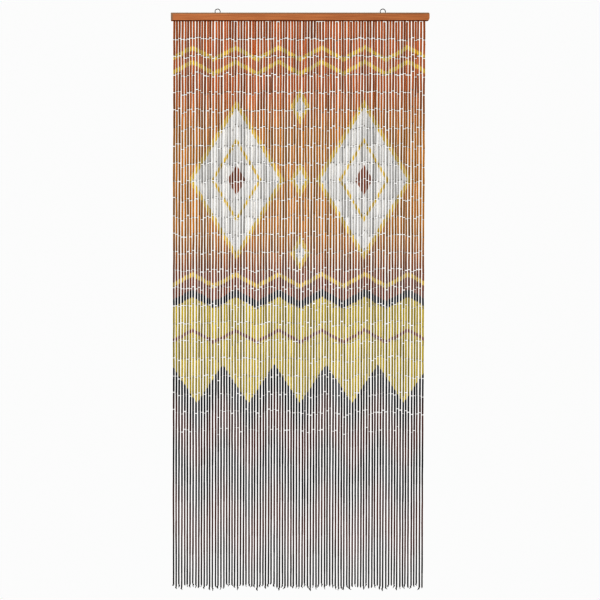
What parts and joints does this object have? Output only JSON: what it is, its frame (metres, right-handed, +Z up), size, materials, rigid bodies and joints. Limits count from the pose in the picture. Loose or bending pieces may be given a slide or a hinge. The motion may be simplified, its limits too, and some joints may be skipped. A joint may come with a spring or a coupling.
{
  "type": "bamboo door curtain with its wooden rail",
  "caption": "Door curtain of slim painted bamboo tubes linked by wire into hanging strands under a stained wooden rail, with screw eyes in the rail's top edge for hooks.",
  "frame": {"origin": "midway between the two screw eyes, at the height of the inner top of their rings, where the hooks bear", "axes": "+Z up along the hanging strands, +X along the rail to the right as one faces the curtain, -Y towards the curtain's front"},
  "size_m": [0.9, 0.015, 2.0279],
  "materials": {
    "stained_wood": "orange-brown stain under a thin satin varnish, fine grain along the rail",
    "steel_wire": "drawn grey steel wire, slightly dull",
    "painted_bamboo": "thin bamboo tubes, painted in bands from orange-brown to charcoal, satin, with the fibres showing through"
  },
  "bodies": {
    "root": {"rail": "stained_wood", "screw_eye_left": "steel_wire", "screw_eye_right": "steel_wire", "strands": "painted_bamboo"}
  },
  "joints": []
}
